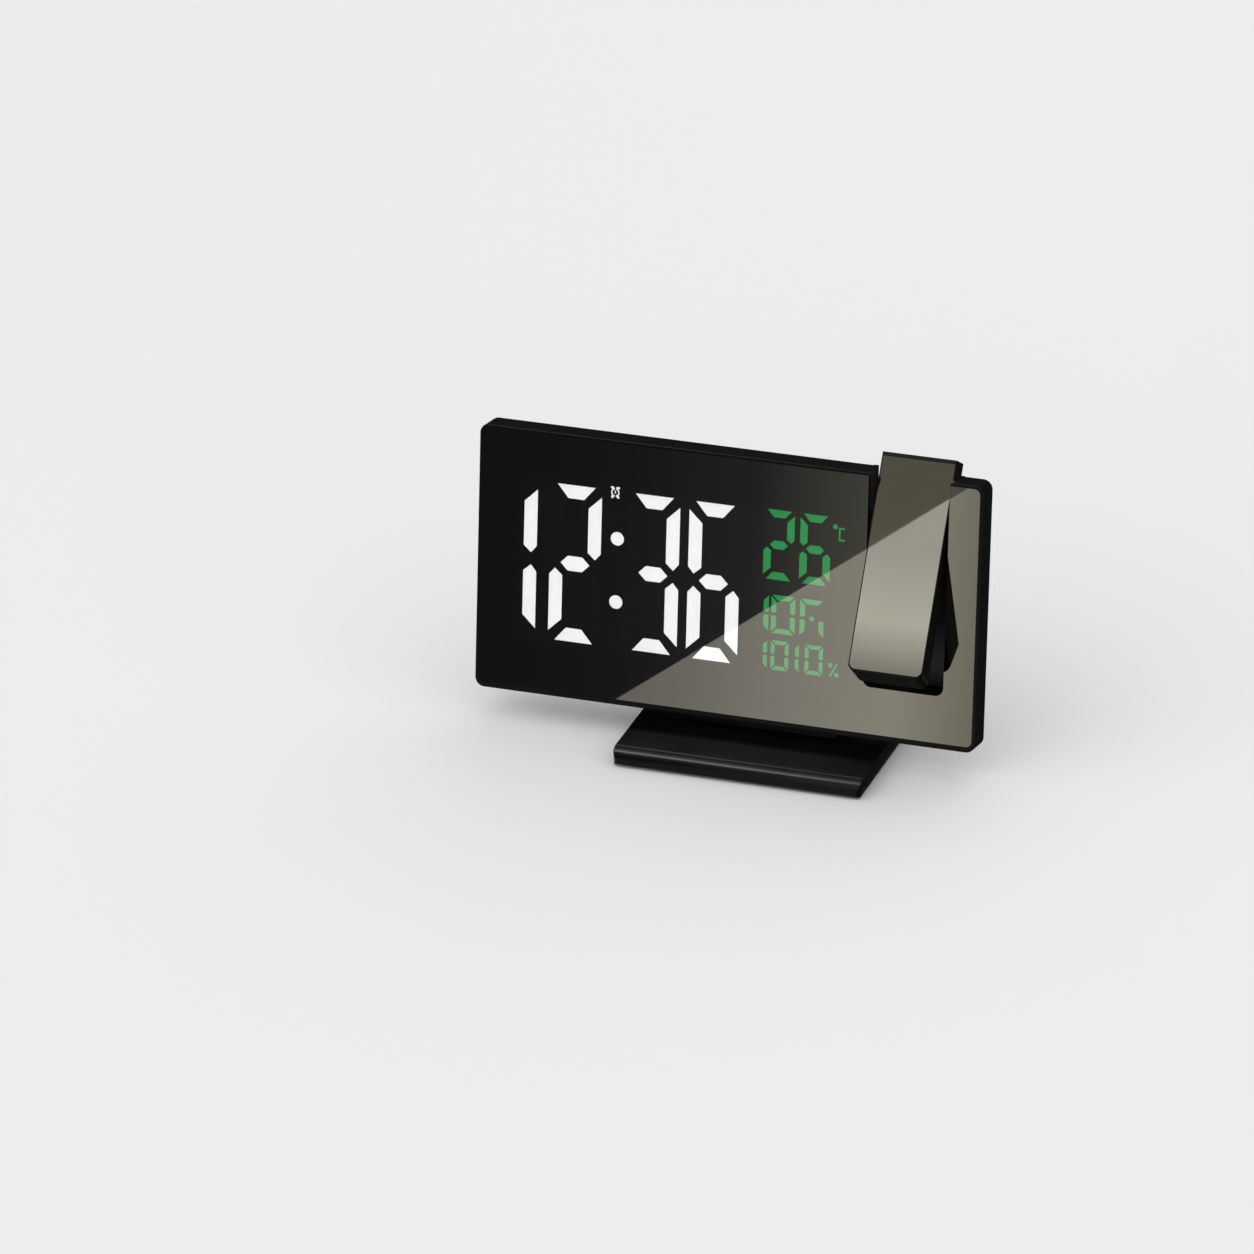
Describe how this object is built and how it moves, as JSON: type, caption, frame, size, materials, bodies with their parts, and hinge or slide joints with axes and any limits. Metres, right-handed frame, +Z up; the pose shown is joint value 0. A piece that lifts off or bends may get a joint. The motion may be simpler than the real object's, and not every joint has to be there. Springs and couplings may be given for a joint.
{
  "type": "projection alarm clock",
  "caption": "Wide desk alarm clock with a smoked-mirror display, a projector arm that swings out of a slot, rear buttons and a flat tongue base.",
  "frame": {"origin": "middle of the footprint on the table, under the middle of the clock's width", "axes": "+Z up, +X to the reader's right, the display faces -Y and leans back 12 degrees"},
  "size_m": [0.19, 0.066, 0.1104],
  "materials": {
    "case_plastic": "satin, fine grain",
    "base_plastic": "matt",
    "smoked_mirror": "polished half-mirror",
    "display_black": "matt",
    "dark_diffuser": "matt",
    "lit_white": "lit white diffuser",
    "lit_green": "lit green diffuser",
    "circuit_board": "solder mask",
    "lamp_resin": "clear",
    "chip_resin": "matt",
    "capacitor_sleeve": "gloss",
    "bright_steel": "nickel plated",
    "black_steel": "black zinc",
    "ballast_steel": "zinc plated",
    "button_plastic": "satin",
    "port_plastic": "satin",
    "bush_plastic": "satin acetal",
    "lens_glass": "clear",
    "red_lamp": "clear red resin",
    "rubber": "matt"
  },
  "bodies": {
    "clock": {"front_frame": "case_plastic", "mirror_panel": "smoked_mirror", "light_box": "display_black", "dark_segments": "dark_diffuser", "time_figures": "lit_white", "colon_dots": "lit_white", "alarm_pictogram": "lit_white", "small_figures": "lit_green", "display_board": "circuit_board", "display_leds": "lamp_resin", "rear_cover": "case_plastic", "case_screws": "black_steel", "board_screws": "black_steel", "neck_screws": "black_steel", "main_board": "circuit_board", "clock_chip": "chip_resin", "quartz_crystal": "bright_steel", "capacitors": "capacitor_sleeve", "climate_sensor": "lamp_resin", "buzzer": "chip_resin", "tact_switches": "chip_resin", "power_inlet": "chip_resin", "inlet_pin": "bright_steel", "charging_port": "bright_steel", "charging_tongue": "port_plastic", "cell_holder": "case_plastic", "cell_contact": "bright_steel", "coin_cell": "bright_steel", "pivot_bushes": "bush_plastic", "base_shell": "case_plastic", "base_plate": "base_plastic", "base_screws": "black_steel", "ballast_plate": "ballast_steel", "rubber_feet": "rubber"},
    "arm": {"arm_front_shell": "case_plastic", "arm_rear_shell": "case_plastic", "arm_mirror": "smoked_mirror", "arm_screws": "black_steel", "pivot_pin_left": "bright_steel", "pivot_pin_right": "bright_steel", "friction_washer": "rubber", "projector_board": "circuit_board", "driver_chip": "chip_resin", "projector_led": "red_lamp", "optics_barrel": "display_black", "condenser_lens": "lens_glass", "image_gate": "lens_glass"},
    "focus": {"focus_ring": "button_plastic", "projection_lens": "lens_glass"},
    "battery_lid": {"battery_door": "case_plastic"},
    "set_key": {"set_button": "button_plastic"},
    "alarm_key": {"alarm_button": "button_plastic"},
    "up_key": {"up_button": "button_plastic"},
    "down_key": {"down_button": "button_plastic"},
    "projector_key": {"projector_button": "button_plastic"}
  },
  "joints": [
    {"name": "arm_hinge", "type": "hinge", "parent": "clock", "child": "arm", "pos_m": [0.0674, 0.01264, 0.08675], "axis": [-1, 0, 0], "range_deg": [-23, 67]},
    {"name": "focus_turn", "type": "hinge", "parent": "arm", "child": "focus", "pos_m": [0.0674, 0.02702, 0.10598], "axis": [0, 0.5736, 0.8192], "range_deg": [-60, 60]},
    {"name": "door_turn", "type": "hinge", "parent": "clock", "child": "battery_lid", "pos_m": [-0.052, 0.01959, 0.04008], "axis": [0, -0.9781, 0.2079], "range_deg": [0, 35]},
    {"name": "set_press", "type": "slide", "parent": "clock", "child": "set_key", "axis": [0, -0.9781, 0.2079], "range_m": [0, 0.0005], "stiffness_N_per_m": 300, "springref_m": -0.001},
    {"name": "alarm_press", "type": "slide", "parent": "clock", "child": "alarm_key", "axis": [0, -0.9781, 0.2079], "range_m": [0, 0.0005], "stiffness_N_per_m": 300, "springref_m": -0.001},
    {"name": "up_press", "type": "slide", "parent": "clock", "child": "up_key", "axis": [0, -0.9781, 0.2079], "range_m": [0, 0.0005], "stiffness_N_per_m": 300, "springref_m": -0.001},
    {"name": "down_press", "type": "slide", "parent": "clock", "child": "down_key", "axis": [0, -0.9781, 0.2079], "range_m": [0, 0.0005], "stiffness_N_per_m": 300, "springref_m": -0.001},
    {"name": "projector_press", "type": "slide", "parent": "clock", "child": "projector_key", "axis": [0, -0.9781, 0.2079], "range_m": [0, 0.0005], "stiffness_N_per_m": 300, "springref_m": -0.001}
  ]
}
